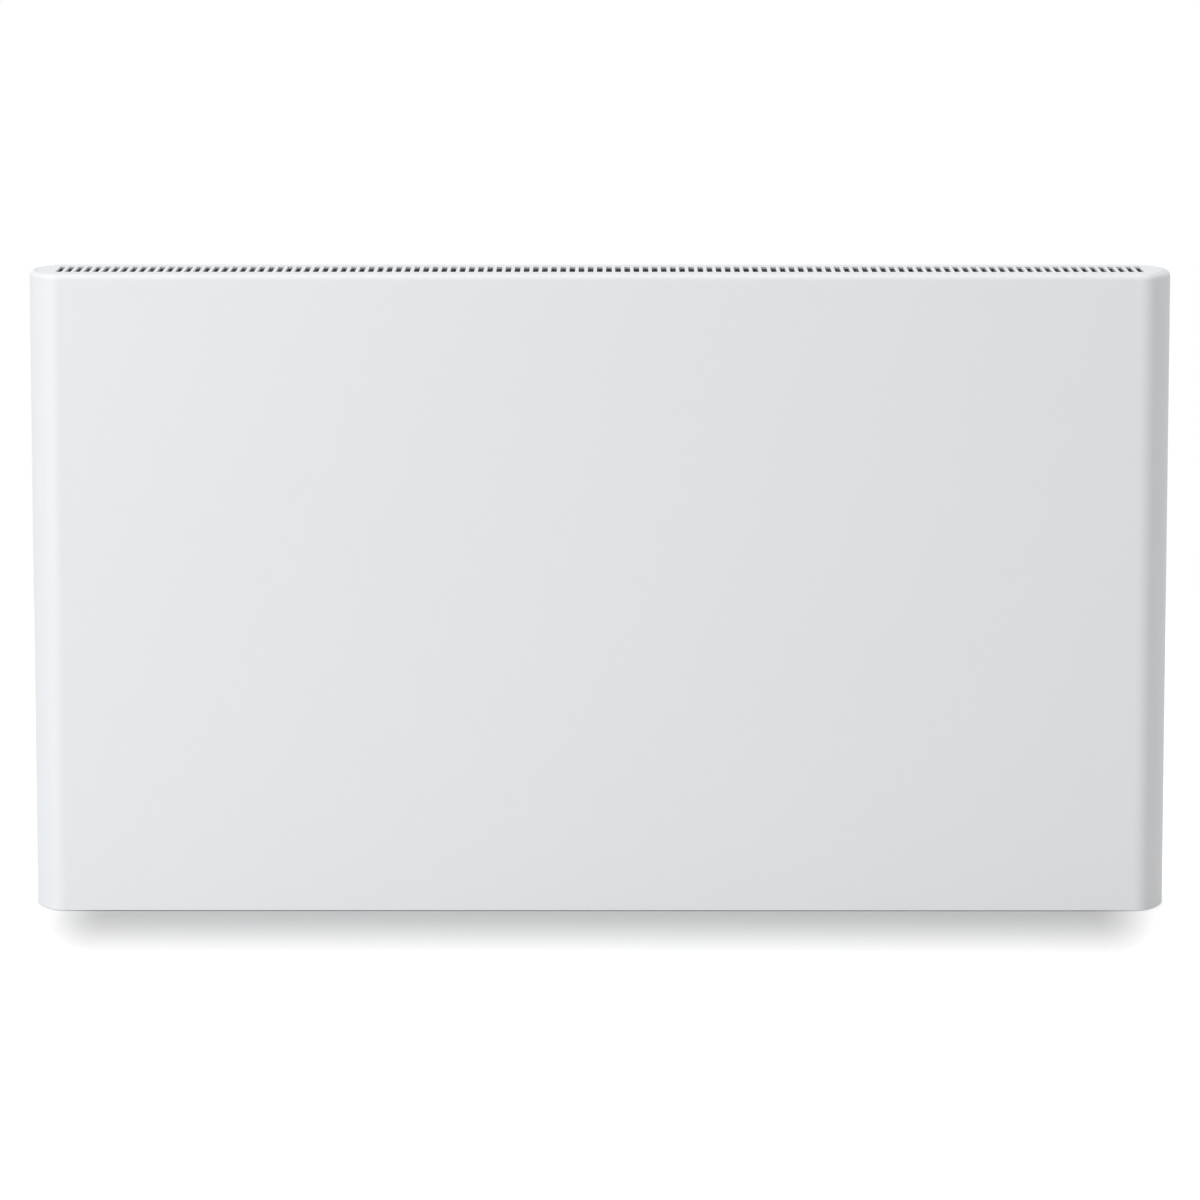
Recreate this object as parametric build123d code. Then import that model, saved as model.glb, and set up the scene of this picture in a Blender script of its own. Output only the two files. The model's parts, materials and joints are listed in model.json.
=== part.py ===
from build123d import *

import os
from math import sqrt

# A wall-hung panel convector heater, in millimetres. +Z is up and the front faces -Y.
# The wall is the plane Y = 0, and the origin is the centre of the wall bracket's four fixing holes.

# Casing: a flat front with bowed ends, a small rolled top edge and a sharp lower edge
casing_width = 800.0
casing_height = 450.0
casing_depth = 80.0
wall_gap = 22.0  # from the wall to the casing's rear face
end_reach = 23.0  # how far each bowed end reaches past the flat front
corner_radius = 14.0  # from the flat front into the bow
top_edge_radius = 4.0
casing_sheet = 1.0
hem_width = 11.0  # the lower edge's inward fold
rear_flange = 20.0  # the casing's return at each side of the back
rear_lip = 26.0  # the casing's return at the top of the back

# Top grille: one row of narrow slots, front to back
grille_thickness = 1.6
grille_gap = 0.35  # the hairline round the plate
ledge_width = 6.0
ledge_root = 1.8  # how far in from the casing's outside the ledge starts, inside the rolled edge
slot_count = 119
slot_pitch = 6.41
slot_width = 4.0
slot_length = 41.0

# Bottom guard: the air inlet
guard_thickness = 0.8
guard_slot_count = 76
guard_slot_pitch = 9.0
guard_slot_width = 5.0
guard_slot_length = 50.0

# Back panels, their vents and beads, and the hooks that come through between them
panel_sheet = 1.0
panel_half_width = 372.0
panel_top_overlap = 16.0
hook_x = 200.0
hook_seat_z = 120.0  # the two upper seats, and the two lower ones at minus this
hook_width = 16.0
hook_sheet = 2.0
hook_rise = 8.0
hook_reach = 8.0  # from the panels' rear face to the upturned tip's front
hook_slot_width = 24.0
hook_slot_height = 22.0

vent_pitch = 8.0
vent_width = 3.0
vent_height = 18.0
bead_width = 12.0
bead_rise = 1.4

# Screws that hold the back panels to the casing
screw_radius = 1.9
screw_head_radius = 3.8
screw_length = 9.0
screw_side_z = (-200.0, 20.0, 180.0)
screw_top_x = (-250.0, 0.0, 250.0)

# Hook strips: thicker uprights that join the three back panels and carry the heater's weight
strip_width = 64.0
strip_sheet = 1.5
panel_gap = 44.0  # between two back panels, behind each strip

# Wall bracket: two hat rails, and a cross bar with joggled ends that lie on the rails' feet
fixing_spacing_x = 450.0
fixing_spacing_z = 200.0
fixing_hole_radius = 3.25
bracket_sheet = 1.5
rail_height = 300.0
rail_web_width = 36.0
rail_foot_width = 34.0
rail_depth = 19.0
bar_half_length = 145.0
bar_half_height = 22.0
bar_fold = 9.0
bar_joggle = 2.0
bar_tab = 29.0
pad_radius = 6.0
pad_thickness = 3.3

# Warm air duct, between two end plates and two heat shields
duct_left = -345.0
duct_right = 300.0
duct_sheet = 0.8
end_plate_sheet = 1.0
end_plate_half_height = 205.0
air_holes = [(-65.0, 60.0, 12.0), (-65.0, 120.0, 12.0)]  # (y, z, radius) in the end plates
shield_top_z = 195.0
front_shield_low_z = -170.0
rear_shield_low_z = -180.0
front_shield_y = -92.0
rear_shield_y = -38.0

# Heating element: a sheathed rod in a finned aluminium section
element_y = -65.0
element_z = -150.0
element_left = -315.0
element_right = 270.0
hub_radius = 7.5
hub_bore = 4.3
fin_half_width = 21.0
fin_half_height = 31.0
fin_thickness = 1.2
fin_pitch = 4.5
fins_per_wing = 4
wing_thickness = 1.8
sheath_radius = 4.25
sheath_wall = 0.6
sheath_overhang = 8.0
terminal_radius = 1.5
terminal_length = 10.0
bracket_offset = 5.0  # from the fins' end to the element bracket
bracket_plate = 1.2
grommet_radius = 4.5
grommet_places = [(-33.0, -188.0), (element_y, element_z)]  # (y, z) in the right end plate

# Limiter on the rear heat shield, and the room air sensor at the lower right
cutout_x = 230.0
cutout_z = -85.0
clip_sheet = 0.8
sensor_x = 322.0
sensor_y = -70.0
sensor_low_z = -206.0
sensor_length = 22.0

# Control housing, recessed in the rear half of the right end
control_z = -115.0
control_height = 104.0
control_recess = 2.5
control_front_y = 8.0  # where the recess starts, behind the casing's mid depth
housing_wall = 2.2
housing_left = 345.0
cheek_thickness = 2.5
dial_offset = 22.0  # the dial's centre above the recess's centre
dial_radius = 13.5
dial_height = 7.0
dial_flutes = 30
dial_rest = 135.0  # degrees to the left from straight up, as seen from outside, to the scale's low end
dial_well_radius = 15.0
dial_well_depth = 4.0
dial_shaft_radius = 3.0
shaft_clearance = 0.08
rocker_offset = -15.0
rocker_pivot = -1.5  # the pivot's height above the control face
rocker_travel = 16.0  # degrees, from one seat to the other
lens_offset = -36.0
lens_radius = 2.5

# Lid and circuit board of the control housing
lid_thickness = 1.8
board_x = 350.0
board_sheet = 1.6

# Supply entry, terminals and earth stud on the right back panel
gland_x = 323.0
gland_z = -185.0
gland_bore = 4.5
gland_body_radius = 9.8
terminal_x = (308.0, 338.0)
terminal_z = -140.0
earth_x = 318.0
earth_z = -80.0

# Wires, and the lid's hole that five of them share
wire_radius = 1.3
sensor_wire_radius = 0.9
wire_bend = 4.0
wire_end_x = 352.0
wire_hole = (-46.0, control_z + 34)  # (y, z)
wire_hole_radius = 5.0
wires_in_hole = 5

# Planes and places that follow from the sizes above
top_z = casing_height / 2
bottom_z = -casing_height / 2
rear_y = -wall_gap
front_y = rear_y - casing_depth
mid_y = rear_y - casing_depth / 2
flat_half_width = casing_width / 2 - end_reach
panel_rear_y = rear_y - casing_sheet
panel_front_y = panel_rear_y - panel_sheet
panel_top_z = top_z - rear_lip + panel_top_overlap
ledge_top_z = top_z - grille_thickness
guard_low_z = bottom_z + casing_sheet
guard_top_z = guard_low_z + guard_thickness
screw_side_x = flat_half_width - rear_flange / 2 - 3
screw_top_z = top_z - rear_lip + 8
web_face_y = -rail_depth - bracket_sheet
rear_shield_face_y = rear_shield_y - duct_sheet
element_bracket_x = element_left - bracket_offset - bracket_plate
sheath_start = element_left - sheath_overhang
sheath_length = element_right - element_left + 2 * sheath_overhang
earth_lug_y = panel_front_y - 5.4
control_half = control_height / 2
end_bow_radius = (end_reach**2 + casing_depth**2 / 4 - casing_depth * corner_radius) / (
    2 * (end_reach - corner_radius)
)


def block(x, y, z):
    """A box from three (low, high) pairs."""
    size = [high - low for low, high in (x, y, z)]
    middle = [(high + low) / 2 for low, high in (x, y, z)]
    return Pos(*middle) * Box(*size)


def rod(start, direction, radius, length):
    """A cylinder that starts at a point and runs along a direction."""
    seat = Plane(origin=start, z_dir=direction)
    return seat * Cylinder(radius, length, align=(Align.CENTER, Align.CENTER, Align.MIN))


def ring(start, direction, outer, inner, length):
    """A straight tube that starts at a point and runs along a direction."""
    return rod(start, direction, outer, length) - rod(start, direction, inner, length)


def wire(points, bend, radius):
    """A round wire along straight runs joined by tangent arcs."""
    path = FilletPolyline(*points, radius=bend)
    start = Plane(origin=points[0], z_dir=Vector(*points[1]) - Vector(*points[0]))
    return sweep(start * Circle(radius), path=path)


def save(name, shape):
    """Writes one node: one shape, or a list of shapes that share it."""
    shapes = shape if isinstance(shape, list) else [shape]
    solids = [solid for each in shapes for solid in each.solids()]
    export_step(solids[0] if len(solids) == 1 else Compound(children=solids), f"parts/{name}.step")


def plan_face(inset):
    """The casing's plan: flat front and back, and two ends of a corner arc, a bow and a corner arc."""
    half_depth = casing_depth / 2 - inset
    corner = corner_radius - inset
    corner_centre = Vector(flat_half_width, -(casing_depth / 2 - corner_radius))
    bow_centre = Vector(casing_width / 2 - end_bow_radius, 0)
    along = (corner_centre - bow_centre).normalized()
    front = Vector(flat_half_width, -half_depth)
    bend = corner_centre + (along + Vector(0, -1)).normalized() * corner
    joint = corner_centre + along * corner
    tip = Vector(casing_width / 2 - inset, 0)

    def place(point, side, way):
        return (side * point.X, way * point.Y)

    edges = []
    for side in (1, -1):
        for way in (1, -1):
            arc = [place(point, side, way) for point in (front, bend, joint)]
            edges.append(ThreePointArc(*arc))
        bow = [place(joint, side, 1), place(tip, side, 1), place(joint, side, -1)]
        edges.append(ThreePointArc(*bow))
    for way in (1, -1):
        edges.append(Line(place(front, -1, way), place(front, 1, way)))
    return Pos(0, mid_y) * make_face(edges)


def plan_prism(inset, low, high):
    """The casing's plan, drawn in by inset, from one height to another."""
    return extrude(Pos(0, 0, low) * plan_face(inset), high - low)


def slot_grid(count, pitch, width, length, y, low, high):
    """A row of front-to-back slots, as a cutter."""
    places = [Pos((i - (count - 1) / 2) * pitch, y, 0) for i in range(count)]
    face = Sketch() + [place * Rectangle(width, length) for place in places]
    return extrude(Pos(0, 0, low) * face, high - low)


def control_plane():
    """The control recess's flat face: X along the recess to the rear, Y up, Z outwards."""
    bow_x = casing_width / 2 - end_bow_radius
    start = Vector(bow_x + sqrt(end_bow_radius**2 - control_front_y**2), mid_y + control_front_y)
    end = Vector(flat_half_width, rear_y)
    along = (end - start).normalized()
    outwards = Vector(along.Y, -along.X)
    centre = (start + end) / 2 - outwards * control_recess
    return Plane(origin=(centre.X, centre.Y, control_z), x_dir=along, z_dir=outwards)


control = control_plane()


def on_control(across, up, out=0.0):
    """A place on the control face."""
    return control * Pos(across, up, out)


def control_disc(up, low, high, radius):
    """A disc on the control face, from one height above it to another."""
    return on_control(0, up, low) * Cylinder(
        radius, high - low, align=(Align.CENTER, Align.CENTER, Align.MIN)
    )


def control_box(across, up, out):
    """A box in the control face's own frame, from three (low, high) pairs."""
    return control * block(across, up, out)


def beyond_control(clearance=0.0):
    """Everything outside the control face, over the height of the recess."""
    half = control_half + clearance
    return control_box((-60, 60), (-half, half), (0, 60))


def front_casing():
    outer = plan_prism(0, bottom_z, top_z)
    outer = fillet(outer.faces().sort_by(Axis.Z)[-1].edges(), top_edge_radius)
    hollow = plan_prism(casing_sheet, bottom_z - 1, top_z - casing_sheet)
    hollow = fillet(hollow.faces().sort_by(Axis.Z)[-1].edges(), top_edge_radius - casing_sheet)
    mouth = plan_prism(top_edge_radius, top_z - top_edge_radius, top_z + 1)
    ledge = plan_prism(ledge_root, ledge_top_z - casing_sheet, ledge_top_z)
    ledge -= plan_prism(top_edge_radius + ledge_width, ledge_top_z - 2, top_z)
    hem = plan_prism(casing_sheet / 2, bottom_z, guard_low_z)
    hem -= plan_prism(casing_sheet + hem_width, bottom_z - 1, guard_low_z + 1)
    opening_half_width = flat_half_width - rear_flange
    opening = block(
        (-opening_half_width, opening_half_width),
        (rear_y - casing_sheet - hem_width - 1, rear_y + 1),
        (bottom_z - 1, top_z - rear_lip),
    )
    casing = outer - hollow - mouth + ledge + hem - opening
    return casing - beyond_control(0.2) - screw_holes()


def top_grille():
    plate = plan_prism(top_edge_radius + grille_gap, ledge_top_z, top_z)
    slots = slot_grid(
        slot_count, slot_pitch, slot_width, slot_length, mid_y, ledge_top_z - 1, top_z + 1
    )
    return plate - slots


def grille_clips():
    """Spring clips under the ledge, which hold the plate down."""
    clips = []
    low = ledge_top_z - 1
    y = front_y + top_edge_radius + ledge_width
    for x in (-300, -100, 100, 300):
        for side in (1, -1):
            foot = block((x - 8, x + 8), (y, y + 4), (low - 0.6, ledge_top_z))
            tongue = block((x - 8, x + 8), (y - 4, y + 0.6), (low - 0.6, low))
            clip = foot + tongue
            if side == -1:
                clip = Pos(0, 2 * mid_y, 0) * mirror(clip, about=Plane.XZ)
            clips.append(clip)
    return clips


def bottom_guard():
    plate = plan_prism(casing_sheet + 0.4, guard_low_z, guard_top_z)
    plate -= block((-500, 500), (panel_front_y - 0.4, 0), (guard_low_z - 1, guard_top_z + 1))
    return plate - slot_grid(
        guard_slot_count,
        guard_slot_pitch,
        guard_slot_width,
        guard_slot_length,
        mid_y,
        guard_low_z - 1,
        guard_top_z + 1,
    )


def screw_places():
    """The (x, z) of the screws that hold the back panels to the casing."""
    sides = [(x, z) for x in (-screw_side_x, screw_side_x) for z in screw_side_z]
    return sides + [(x, screw_top_z) for x in screw_top_x]


def screw_holes():
    """Clearance holes for the casing screws, as a cutter."""
    return [
        rod((x, rear_y + 1, z), (0, -1, 0), screw_radius + 0.15, 4) for x, z in screw_places()
    ]


def pan_screw(seat, direction, radius, head_radius, length):
    """A pan-head screw with a cross recess: its head stands on the seat, its shank goes the other way."""
    out = Vector(*direction)
    start = Vector(*seat)
    head = rod(start, out, head_radius, head_radius * 0.6)
    head = fillet(head.edges().filter_by(GeomType.CIRCLE).sort_by(SortBy.DISTANCE)[-1:], 0.8)
    recess_plane = Plane(origin=start + out * head_radius * 0.6, z_dir=out)
    cross = [
        recess_plane * Box(head_radius * 0.9, head_radius * 0.2, head_radius * 0.6),
        recess_plane * Box(head_radius * 0.2, head_radius * 0.9, head_radius * 0.6),
    ]
    return head - cross + rod(start, -out, radius, length)


def casing_screws():
    return [
        pan_screw((x, rear_y, z), (0, 1, 0), screw_radius, screw_head_radius, screw_length)
        for x, z in screw_places()
    ]


def vent_row(centre_x, z, count):
    """A row of short upright vent slots through a back panel, as a cutter."""
    cutters = []
    for i in range(count):
        x = centre_x + (i - (count - 1) / 2) * vent_pitch
        across = (x - vent_width / 2, x + vent_width / 2)
        upright = (z - vent_height / 2, z + vent_height / 2)
        cutters.append(block(across, (panel_front_y - 1, rear_y), upright))
    return cutters


def bead(x, z, half_length):
    """A stiffening bead, pressed towards the wall."""
    seat = Plane(origin=(x, panel_rear_y, z), x_dir=(1, 0, 0), z_dir=(0, 1, 0))
    return extrude(seat * SlotOverall(2 * half_length, bead_width), bead_rise, taper=45)


def back_panel(left, right, beads, vents):
    """A rear sheet with a forward fold along its foot. Beads are (x, z, half length), vents are x."""
    panel = block((left, right), (panel_front_y, panel_rear_y), (guard_top_z, panel_top_z))
    fold_x = (max(left, duct_left + 15), min(right, duct_right - 5))
    fold_y = (panel_front_y - 12, panel_rear_y)
    panel += block(fold_x, fold_y, (guard_top_z, guard_top_z + panel_sheet))
    for x, z, half_length in beads:
        panel += bead(x, z, half_length)
    for x in vents:
        panel -= vent_row(x, 170, 9)
    return panel - screw_holes()


def back_panel_left():
    return back_panel(-panel_half_width, -hook_x - panel_gap / 2, [(-290, 60, 45)], [-290])


def back_panel_centre():
    edge = hook_x - panel_gap / 2
    return back_panel(-edge, edge, [(0, z, 150) for z in (-70, 0, 70)], [-110, 0, 110])


def back_panel_right():
    panel = back_panel(hook_x + panel_gap / 2, panel_half_width, [(290, 60, 45)], [290])
    return panel - rod((gland_x, rear_y, gland_z), (0, -1, 0), gland_body_radius + 0.2, 4)


def hook_strip(x):
    """An upright across the gap between two back panels, with a slot for each of two hooks."""
    across = (x - strip_width / 2, x + strip_width / 2)
    y = (panel_front_y - strip_sheet, panel_front_y)
    strip = block(across, y, (guard_top_z + panel_sheet, panel_top_z))
    slot = (x - hook_slot_width / 2, x + hook_slot_width / 2)
    for seat_z in (-hook_seat_z, hook_seat_z):
        strip -= block(slot, (y[0] - 1, y[1] + 1), (seat_z - hook_slot_height, seat_z))
    return fillet(strip.edges().filter_by(Axis.Y), 1.5)


def bracket_rail(x):
    """A hat rail: a raised web, two sides and two feet that lie on the wall."""
    half_web = rail_web_width / 2
    half_height = rail_height / 2
    z = (-half_height, half_height)
    rail = block((x - half_web, x + half_web), (web_face_y, -rail_depth), z)
    for side in (-1, 1):
        inner = x + side * (half_web - bracket_sheet)
        outer = x + side * half_web
        foot_end = x + side * (half_web + rail_foot_width)
        rail += block(sorted((inner, outer)), (web_face_y, 0), z)
        rail += block(sorted((inner, foot_end)), (-bracket_sheet, 0), z)
    for seat_z in (-hook_seat_z, hook_seat_z):
        rail += hook(x, seat_z)
    for hole_z in (-75, -35, 35, 75):
        rail -= rod((x, -rail_depth + 1, hole_z), (0, -1, 0), 9, 4)
    fixing_x = fixing_spacing_x / 2 if x > 0 else -fixing_spacing_x / 2
    for fixing_z in (-fixing_spacing_z / 2, fixing_spacing_z / 2):
        rail -= rod((fixing_x, 1, fixing_z), (0, -1, 0), fixing_hole_radius, 4)
    return rail


def hook(x, seat_z):
    """A tongue through a hook strip's slot, turned up in front of the strip."""
    tip_y = panel_rear_y - hook_reach
    across = (x - hook_width / 2, x + hook_width / 2)
    tongue = block(across, (tip_y, web_face_y + 1), (seat_z - hook_sheet, seat_z))
    tip = block(across, (tip_y, tip_y + hook_sheet), (seat_z - hook_sheet, seat_z + hook_rise))
    return tongue + fillet(tip.edges().filter_by(Axis.Y).group_by(Axis.Z)[-1], 3)


def bracket_cross_bar():
    """A flanged bar flat on the wall, whose ends step forward onto the rails' inner feet."""
    x = (-bar_half_length, bar_half_length)
    bar = block(x, (-bracket_sheet, 0), (-bar_half_height, bar_half_height))
    for side in (-1, 1):
        edge = side * bar_half_height
        fold = sorted((edge, edge - side * bracket_sheet))
        bar += block(x, (-bar_fold, 0), fold)
        step_end = side * (bar_half_length + bar_joggle)
        tab_end = side * (bar_half_length + bar_tab)
        z = (-bar_half_height + 4, bar_half_height - 4)
        step = sorted((side * bar_half_length, step_end))
        tab = sorted((side * bar_half_length, tab_end))
        bar += block(step, (-2 * bracket_sheet, 0), z)
        bar += block(tab, (-2 * bracket_sheet, -bracket_sheet), z)
    return bar


def bracket_pads():
    """Rubber pads on the rails' webs, which the hook strips lean on."""
    pads = []
    for x in (-hook_x, hook_x):
        for z in (-95, 142):
            pad = rod((x, web_face_y, z), (0, -1, 0), pad_radius, pad_thickness)
            pads.append(fillet(pad.edges().sort_by(Axis.Y)[:1], 0.8))
    return pads


def end_plate(x, holes):
    """A duct end: an upright plate with a fold along its front and its back."""
    z = (-end_plate_half_height, end_plate_half_height)
    near, far = front_y + 1.6, panel_front_y - 0.4
    plate = block((x, x + end_plate_sheet), (near, far), z)
    fold = (x - 10, x) if x > 0 else (x + end_plate_sheet, x + 10)
    plate += block(fold, (far - end_plate_sheet, far), z)
    plate += block(fold, (near, near + end_plate_sheet), z)
    for y, z, radius in holes:
        plate -= rod((x - 1, y, z), (1, 0, 0), radius, 4)
    return plate


def end_plate_left():
    return end_plate(duct_left - end_plate_sheet, air_holes)


def end_plate_right():
    return end_plate(duct_right, air_holes + [(y, z, grommet_radius) for y, z in grommet_places])


def front_heat_shield():
    x = (duct_left + 0.2, duct_right - 0.2)
    shield = block(x, (front_shield_y, front_shield_y + duct_sheet), (front_shield_low_z, shield_top_z))
    for z in (front_shield_low_z, shield_top_z - duct_sheet):
        shield += block(x, (front_y + 3, front_shield_y + duct_sheet), (z, z + duct_sheet))
    return shield


def rear_heat_shield():
    x = (duct_left + 0.2, duct_right - 0.2)
    shield = block(x, (rear_shield_face_y, rear_shield_y), (rear_shield_low_z, shield_top_z))
    for z in (rear_shield_low_z, shield_top_z - duct_sheet):
        shield += block(x, (rear_shield_face_y, rear_shield_y + 6), (z, z + duct_sheet))
    return shield


def element_fins():
    """One extruded section: a hub, two crossed wings and upright fins on them."""
    wing = Rectangle(2 * sqrt(2) * fin_half_width, wing_thickness)
    section = Circle(hub_radius) + Rot(0, 0, 45) * wing + Rot(0, 0, -45) * wing
    for step in range(fins_per_wing):
        y = fin_half_width - fin_thickness / 2 - step * fin_pitch
        height = fin_half_height - y
        for side in (-1, 1):
            for way in (-1, 1):
                section += Pos(side * y, way * (y + height / 2)) * Rectangle(fin_thickness, height)
    section -= Circle(hub_bore)
    start = Plane(origin=(element_left, element_y, element_z), x_dir=(0, 1, 0), z_dir=(1, 0, 0))
    return extrude(start * section, element_right - element_left)


def along_element(x, radius, length, bore=0.0):
    """A rod or tube on the element's axis."""
    if bore:
        return ring((x, element_y, element_z), (1, 0, 0), radius, bore, length)
    return rod((x, element_y, element_z), (1, 0, 0), radius, length)


def element_sheath():
    return along_element(sheath_start, sheath_radius, sheath_length, sheath_radius - sheath_wall)


def element_core():
    return along_element(sheath_start, sheath_radius - sheath_wall - 0.02, sheath_length)


def both_element_ends(shape_at_left):
    """A piece at the element's left end, and its mirror image at the right end."""
    middle = (element_left + element_right) / 2
    return [shape_at_left, Pos(2 * middle, 0, 0) * mirror(shape_at_left, about=Plane.YZ)]


def element_insulators():
    length = 4.0
    bore = terminal_radius + 0.03
    return both_element_ends(along_element(sheath_start - length, sheath_radius - 0.3, length, bore))


def element_terminals():
    pin = along_element(sheath_start - terminal_length, terminal_radius, terminal_length)
    nut_plane = Plane(origin=(sheath_start - 7.5, element_y, element_z), z_dir=(1, 0, 0))
    nut = extrude(nut_plane * RegularPolygon(3.2, 6, major_radius=False), 2.4)
    return both_element_ends(pin + nut)


def element_bushes():
    """Silicone bushes, which let the element grow in its brackets without a noise."""
    x = element_bracket_x
    bush = along_element(x, 6.9, bracket_plate)
    bush += along_element(x - 2.5, 9, 2.5)
    bush += along_element(x + bracket_plate, 9, 2.5)
    bush -= along_element(x - 5, sheath_radius + 0.02, 12)
    return both_element_ends(bush)


def element_bracket(side):
    """An upright plate round the bush, folded against the rear heat shield."""
    x = element_bracket_x
    foot_y = rear_shield_face_y
    z = (element_z - 26, element_z + 32)
    plate = block((x, x + bracket_plate), (element_y - fin_half_width, foot_y), z)
    plate += block((x - 14, x + bracket_plate), (foot_y - bracket_plate, foot_y), z)
    plate -= along_element(x - 1, 7.0, 4)
    return both_element_ends(plate)[side]


def thermal_cutout():
    """A bimetal disc limiter with two flat tabs."""
    foot_y = rear_shield_face_y
    body = rod((cutout_x, foot_y - clip_sheet, cutout_z), (0, -1, 0), 8, 9)
    for x in (cutout_x - 5, cutout_x + 5):
        body += block((x - 3, x + 3), (foot_y - 16, foot_y - 9), (cutout_z - 0.4, cutout_z + 0.4))
    return body


def cutout_clip():
    """A strap across the limiter's foot, with a rivet at each end."""
    foot_y = rear_shield_face_y
    across = (cutout_x - 24, cutout_x + 24)
    clip = block(across, (foot_y - clip_sheet, foot_y), (cutout_z - 8, cutout_z + 8))
    for x in (cutout_x - 19, cutout_x + 19):
        clip += rod((x, foot_y - clip_sheet, cutout_z), (0, -1, 0), 2.2, 1.2)
    return clip


def sensor_probe():
    """The room air sensor, in the inlet air at the lower right."""
    tip = rod((sensor_x, sensor_y, sensor_low_z), (0, 0, 1), 2.5, sensor_length)
    return fillet(tip.edges().sort_by(Axis.Z)[:1], 2.0)


def sensor_clip():
    """An angle on the right end plate that holds the probe."""
    wall_x = duct_right + end_plate_sheet
    y = (sensor_y - 4, sensor_y + 4)
    z = sensor_low_z + 14
    arm = block((wall_x, sensor_x + 4), y, (z, z + 1.2))
    lug = block((wall_x, wall_x + 1.2), y, (z, z + 14))
    return arm + lug - rod((sensor_x, sensor_y, z - 2), (0, 0, 1), 2.52, 5)


def housing_envelope(inset, rear_inset):
    """The control housing's outside, or its hollow when drawn in."""
    half = control_half - inset
    left = housing_left - (1 if inset else 0)
    shape = plan_prism(1.4 + inset, control_z - half, control_z + half)
    shape &= block((left, 500), (-200, panel_front_y - 0.4 - rear_inset), (-400, 400))
    return shape


def control_housing():
    """A box that fills the rear half of the right end, with the flat control face and two cheeks."""
    body = housing_envelope(0, 0)
    corner = plan_prism(casing_sheet + 0.2, control_z - control_half, control_z + control_half)
    body += corner & block((panel_half_width + 0.3, 500), (-40, 0), (-400, 400))
    body -= beyond_control(1)
    hollow = housing_envelope(housing_wall, housing_wall)
    hollow &= control_box((-100, 100), (-100, 100), (-200, -housing_wall))
    body -= hollow
    for side in (-1, 1):
        low, high = sorted((side * control_half, side * (control_half - cheek_thickness)))
        cheek = plan_prism(0, control_z + low, control_z + high)
        body += cheek & control_box((-60, 60), (low, high), (0, 60))
    body += control_disc(dial_offset, -dial_well_depth - 2, 0, dial_well_radius + 2)
    body -= control_disc(dial_offset, -dial_well_depth, 1, dial_well_radius)
    body -= control_disc(dial_offset, -dial_well_depth - 3, 0, 5.2)
    body -= control_box((-6.6, 6.6), (rocker_offset - 9.6, rocker_offset + 9.6), (-8, 1))
    body -= control_disc(lens_offset, -8, 1, lens_radius + 0.05)
    return body


def thermostat_dial():
    """A fluted knob with a pointer groove, turned to the low end of its scale."""
    low = -dial_well_depth + 0.6
    knob = control_disc(dial_offset, low, dial_height, dial_radius)
    viewpoint = on_control(0, dial_offset, 50).position
    rims = knob.edges().filter_by(GeomType.CIRCLE).sort_by_distance(viewpoint)
    knob = fillet(rims[:1], 1.2)
    flute_height = dial_height - low - 2.2
    flute = Cylinder(0.8, flute_height, align=(Align.CENTER, Align.CENTER, Align.MIN))
    foot = on_control(0, dial_offset, low + 3)
    for i in range(dial_flutes):
        knob -= foot * Rot(0, 0, i * 360 / dial_flutes) * Pos(dial_radius + 0.3, 0, 0) * flute
    pointer = Rot(0, 0, dial_rest) * Pos(0, 8.2, 0) * Box(1.6, 6.5, 1.2)
    knob -= on_control(0, dial_offset, dial_height) * pointer
    return knob - control_disc(dial_offset, low - 1, dial_height - 2, dial_shaft_radius)


def dial_shaft():
    return control_disc(dial_offset, -19, dial_height - 2, dial_shaft_radius)


def thermostat_body():
    """The rotary thermostat behind the dial, with a threaded neck in the housing's wall."""
    body = control_disc(dial_offset, -18, -dial_well_depth - 2, 11)
    body += control_disc(dial_offset, -dial_well_depth - 2, -dial_well_depth, 5.1)
    body -= control_disc(dial_offset, -20, 0, dial_shaft_radius + shaft_clearance)
    return body


def rocker_switch():
    """A snap-in switch: a rim on the control face round an open well with the rocker's bearings."""
    rim = control_box((-7.8, 7.8), (rocker_offset - 11, rocker_offset + 11), (0, 1.2))
    rim = fillet(rim.edges().filter_by(Axis(control.origin, control.z_dir)), 1.5)
    body = control_box((-6.4, 6.4), (rocker_offset - 9.4, rocker_offset + 9.4), (-15, 0))
    well = control_box((-5, 5), (rocker_offset - 8.9, rocker_offset + 8.9), (-6.5, 3))
    switch = rim + body - well
    switch -= rocker_pin(1.05, 5.8)
    for across in (-3, 3):
        tab = (across - 0.4, across + 0.4)
        switch += control_box(tab, (rocker_offset - 3, rocker_offset + 3), (-22, -15))
    return switch


def rocker_pin(radius, half_length):
    """The rocker's pivot, across the control face."""
    start = on_control(-half_length, rocker_offset, rocker_pivot).position
    return rod(start, control.x_dir, radius, 2 * half_length)


def power_rocker():
    """The rocker, at rest with its upper end pressed in."""
    half, half_width = 8.0, 4.8
    top = [(-half, -0.6), (-half, 2.6), (0, 1.4), (half, 2.6), (half, -0.6)]
    profile = Polyline(*top, (0, -4.2), close=True)
    start = on_control(-half_width, rocker_offset).position
    side_plane = Plane(origin=start, x_dir=(0, 0, 1), z_dir=control.x_dir)
    body = extrude(side_plane * make_face(profile), 2 * half_width)
    body += rocker_pin(1.0, 5.75)
    pivot = Axis(on_control(0, rocker_offset, rocker_pivot).position, control.x_dir)
    return body.rotate(pivot, -rocker_travel / 2)


def indicator_lens():
    dome = control_disc(lens_offset, -4, 0.9, lens_radius)
    flange = control_disc(lens_offset, -4, -housing_wall, lens_radius + 1.2)
    return dome + flange


def indicator_lamp():
    return control_disc(lens_offset, -14, -4.2, 1.8)


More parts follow.
